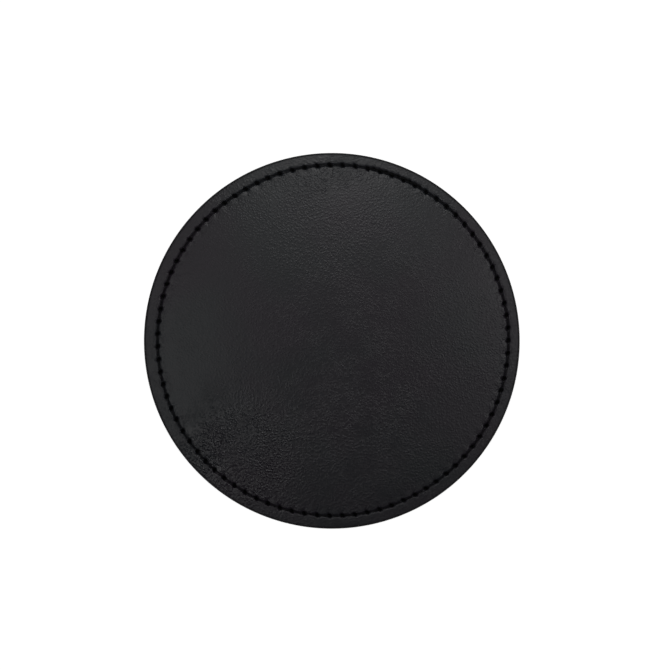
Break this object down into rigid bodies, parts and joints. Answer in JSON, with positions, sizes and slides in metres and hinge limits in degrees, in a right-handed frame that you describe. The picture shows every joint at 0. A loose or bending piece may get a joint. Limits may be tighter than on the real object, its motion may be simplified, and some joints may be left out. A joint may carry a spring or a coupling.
{
  "type": "leather dice cup",
  "caption": "Round lined dice cup of sewn leather over a stiff tube, standing mouth down with its stitched closed end up.",
  "frame": {"origin": "centre of the mouth rim's resting plane", "axes": "+Z along the cup's axis from the mouth up through the closed end, side seam at +Y"},
  "size_m": [0.0954, 0.0954, 0.097],
  "materials": {
    "shell_leather": "dark pebbled leather with a soft sheen",
    "binding_leather": "thin dark leather, folded and pressed",
    "thread": "waxed dark twisted thread",
    "fibreboard": "matt pressed fibreboard",
    "card": "matt grey card",
    "felt": "grey needle felt",
    "velvet": "short dark red velvet pile"
  },
  "bodies": {
    "root": {"base_leather": "shell_leather", "wall_leather": "shell_leather", "rim_binding": "binding_leather", "core_tube": "fibreboard", "base_board": "fibreboard", "filler_card": "card", "floor_card": "card", "floor_pad": "felt", "lining_wall": "velvet", "lining_floor": "velvet", "base_needle_thread": "thread", "base_bobbin_thread": "thread", "rim_needle_thread": "thread", "rim_bobbin_thread": "thread", "seam_needle_thread_left": "thread", "seam_needle_thread_right": "thread", "seam_bobbin_thread_left": "thread", "seam_bobbin_thread_right": "thread"}
  },
  "joints": []
}
